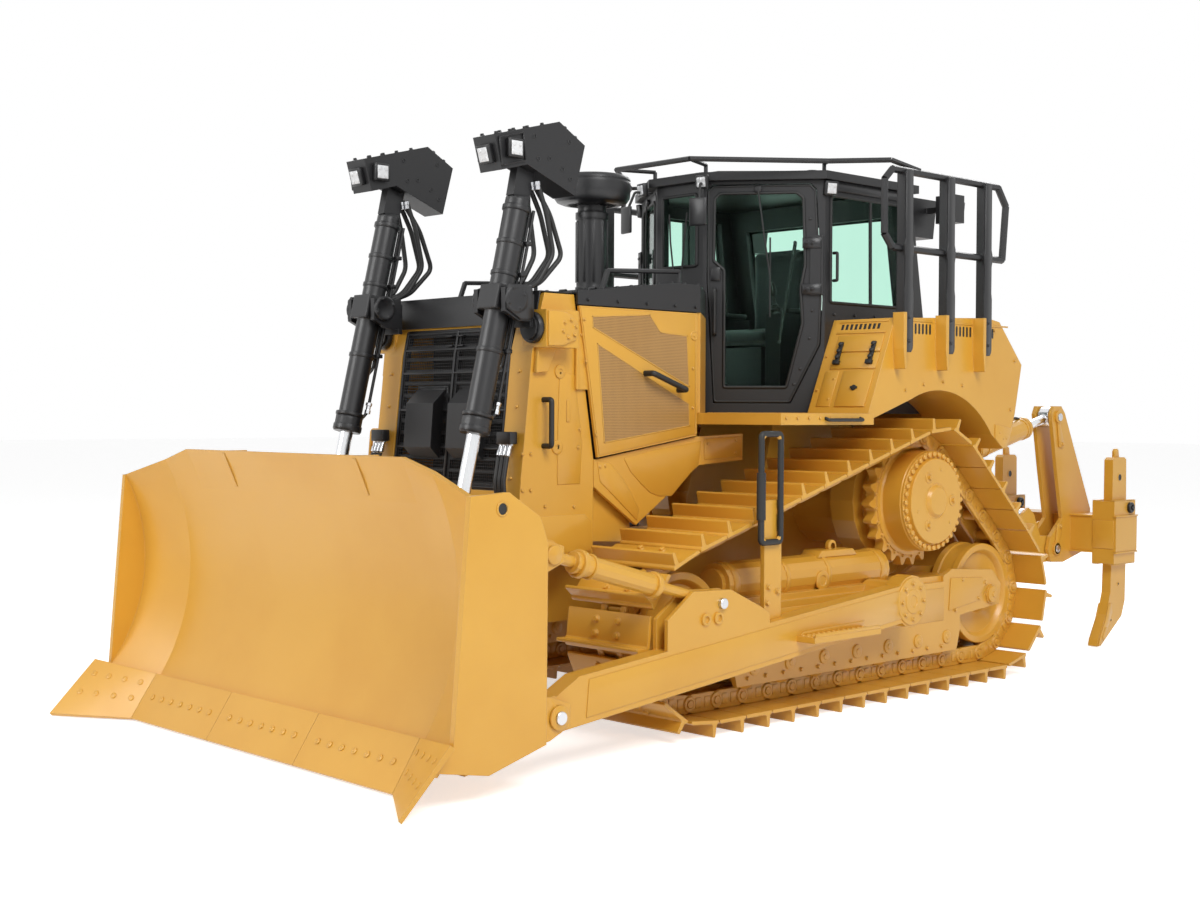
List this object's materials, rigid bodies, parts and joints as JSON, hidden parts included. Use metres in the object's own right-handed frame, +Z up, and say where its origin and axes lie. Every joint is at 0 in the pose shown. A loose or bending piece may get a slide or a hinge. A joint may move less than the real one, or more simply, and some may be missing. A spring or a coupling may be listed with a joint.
{
  "type": "bulldozer",
  "caption": "Yellow crawler bulldozer with a semi-U blade on push arms, twin lift cylinders, enclosed cab, high-drive tracks and a multi-shank ripper.",
  "frame": {"origin": "middle of the machine's box at ground level", "axes": "+Z up, the blade faces -Y, +X is the machine's left"},
  "size_m": [3.468, 7.7683, 3.478],
  "materials": {
    "yellow_paint": "satin",
    "dark_paint": "satin",
    "worn_steel": "worn",
    "chrome_rod": "polished",
    "window_glass": "tinted",
    "seat_cloth": "woven",
    "cab_plastic": "matte"
  },
  "bodies": {
    "tractor": {"air_precleaner": "dark_paint", "cab": "dark_paint", "cab_glass": "window_glass", "cab_roof": "dark_paint", "cowl": "yellow_paint", "engine": "dark_paint", "fender_left": "yellow_paint", "fender_right": "yellow_paint", "final_drives": "yellow_paint", "grille": "dark_paint", "guard_rails": "dark_paint", "hood_rails": "dark_paint", "hood_top": "dark_paint", "idlers": "yellow_paint", "lift_yokes": "dark_paint", "main_case": "yellow_paint", "radiator": "dark_paint", "radiator_guard": "yellow_paint", "rear_tank": "yellow_paint", "rear_work_lamps": "dark_paint", "ripper_bracket": "yellow_paint", "rollers": "yellow_paint", "seat": "seat_cloth", "seat_base_and_consoles": "cab_plastic", "side_shields": "yellow_paint", "sprockets": "yellow_paint", "track_frame_left": "yellow_paint", "track_frame_right": "yellow_paint", "track_left": "yellow_paint", "track_right": "yellow_paint"},
    "blade": {"moldboard": "yellow_paint", "cutting_edge": "worn_steel", "push_arm_left": "yellow_paint", "push_arm_right": "yellow_paint", "blade_brace": "yellow_paint", "tilt_cylinder": "yellow_paint", "grab_post": "yellow_paint"},
    "lift_barrel_left_body": {"lift_barrel_left": "dark_paint", "lamp_box_left": "dark_paint"},
    "lift_barrel_right_body": {"lift_barrel_right": "dark_paint", "lamp_box_right": "dark_paint"},
    "lift_rod_left_body": {"lift_rod_left": "chrome_rod"},
    "lift_rod_right_body": {"lift_rod_right": "chrome_rod"},
    "ripper_arm": {"ripper_draft_frame": "yellow_paint"},
    "ripper_carrier": {"ripper_pins": "worn_steel"},
    "ripper": {"ripper_beam": "yellow_paint", "ripper_shanks": "worn_steel"},
    "ripper_tilt_barrel_body": {"ripper_tilt_barrels": "yellow_paint"},
    "ripper_tilt_rod_body": {"ripper_tilt_rods": "chrome_rod"},
    "ripper_lift_barrel_body": {"ripper_lift_barrels": "yellow_paint"},
    "ripper_lift_rod_body": {"ripper_lift_rods": "chrome_rod"},
    "cab_door_left_body": {"cab_door_left": "dark_paint", "cab_door_glass_left": "window_glass"},
    "cab_door_right_body": {"cab_door_right": "dark_paint", "cab_door_glass_right": "window_glass"},
    "engine_door_left_body": {"engine_door_left": "yellow_paint"},
    "engine_door_right_body": {"engine_door_right": "yellow_paint"}
  },
  "joints": [
    {"name": "blade_lift", "type": "hinge", "parent": "tractor", "child": "blade", "pos_m": [0, 0.277, 0.65], "axis": [-1, 0, 0], "range_deg": [-7, 15.5]},
    {"name": "lift_barrel_left_swing", "type": "hinge", "parent": "tractor", "child": "lift_barrel_left_body", "pos_m": [0, -2.36022, 2.44977], "axis": [-1, 0, 0], "range_deg": [-2.4, 5]},
    {"name": "lift_rod_left_slide", "type": "slide", "parent": "lift_barrel_left_body", "child": "lift_rod_left_body", "axis": [0, -0.2318, -0.9728], "range_m": [-0.83, 0.38]},
    {"name": "lift_barrel_right_swing", "type": "hinge", "parent": "tractor", "child": "lift_barrel_right_body", "pos_m": [0, -2.36022, 2.44977], "axis": [-1, 0, 0], "range_deg": [-2.4, 5]},
    {"name": "lift_rod_right_slide", "type": "slide", "parent": "lift_barrel_right_body", "child": "lift_rod_right_body", "axis": [0, -0.2318, -0.9728], "range_m": [-0.83, 0.38]},
    {"name": "ripper_lift", "type": "hinge", "parent": "tractor", "child": "ripper_arm", "pos_m": [0, 2.072, 0.72], "axis": [1, 0, 0], "range_deg": [-12, 22]},
    {"name": "ripper_level", "type": "hinge", "parent": "ripper_arm", "child": "ripper_carrier", "pos_m": [0, 3.332, 0.763], "axis": [1, 0, 0], "range_deg": [-22.5, 12.5]},
    {"name": "ripper_tilt", "type": "hinge", "parent": "ripper_carrier", "child": "ripper", "pos_m": [0, 3.332, 0.763], "axis": [1, 0, 0], "range_deg": [-14, 9]},
    {"name": "ripper_tilt_barrel_swing", "type": "hinge", "parent": "tractor", "child": "ripper_tilt_barrel_body", "pos_m": [0, 2.022, 1.5], "axis": [1, 0, 0], "range_deg": [-11.5, 20.5]},
    {"name": "ripper_tilt_rod_slide", "type": "slide", "parent": "ripper_tilt_barrel_body", "child": "ripper_tilt_rod_body", "axis": [0, 0.974, 0.2264], "range_m": [-0.17, 0.26]},
    {"name": "ripper_lift_barrel_swing", "type": "hinge", "parent": "tractor", "child": "ripper_lift_barrel_body", "pos_m": [0, 2.052, 1.19], "axis": [1, 0, 0], "range_deg": [-11.5, 21]},
    {"name": "ripper_lift_rod_slide", "type": "slide", "parent": "ripper_lift_barrel_body", "child": "ripper_lift_rod_body", "axis": [0, 0.9855, -0.1698], "range_m": [-0.185, 0.105]},
    {"name": "cab_door_left_swing", "type": "hinge", "parent": "tractor", "child": "cab_door_left_body", "pos_m": [0.83851, 0.18747, 2.6], "axis": [0, 0, 1], "range_deg": [0, 90]},
    {"name": "cab_door_right_swing", "type": "hinge", "parent": "tractor", "child": "cab_door_right_body", "pos_m": [-0.83851, 0.18747, 2.6], "axis": [0, 0, -1], "range_deg": [0, 90]},
    {"name": "engine_door_left_swing", "type": "hinge", "parent": "tractor", "child": "engine_door_left_body", "pos_m": [0.7023, -1.863, 2.1], "axis": [0, 0, -1], "range_deg": [0, 85]},
    {"name": "engine_door_right_swing", "type": "hinge", "parent": "tractor", "child": "engine_door_right_body", "pos_m": [-0.7023, -1.863, 2.1], "axis": [0, 0, 1], "range_deg": [0, 85]}
  ],
  "couplings": [
    {"joint": "lift_barrel_left_swing", "follows": "blade_lift", "ratio": 0.3131},
    {"joint": "lift_rod_left_slide", "follows": "blade_lift", "m_per_rad": -3.012},
    {"joint": "lift_barrel_right_swing", "follows": "blade_lift", "ratio": 0.3131},
    {"joint": "lift_rod_right_slide", "follows": "blade_lift", "m_per_rad": -3.012},
    {"joint": "ripper_level", "follows": "ripper_lift", "ratio": -1},
    {"joint": "ripper_tilt_barrel_swing", "follows": "ripper_lift", "ratio": 0.9},
    {"joint": "ripper_tilt_rod_slide", "follows": "ripper_tilt", "m_per_rad": -1.018},
    {"joint": "ripper_lift_barrel_swing", "follows": "ripper_lift", "ratio": 0.9321},
    {"joint": "ripper_lift_rod_slide", "follows": "ripper_lift", "m_per_rad": -0.4671}
  ]
}
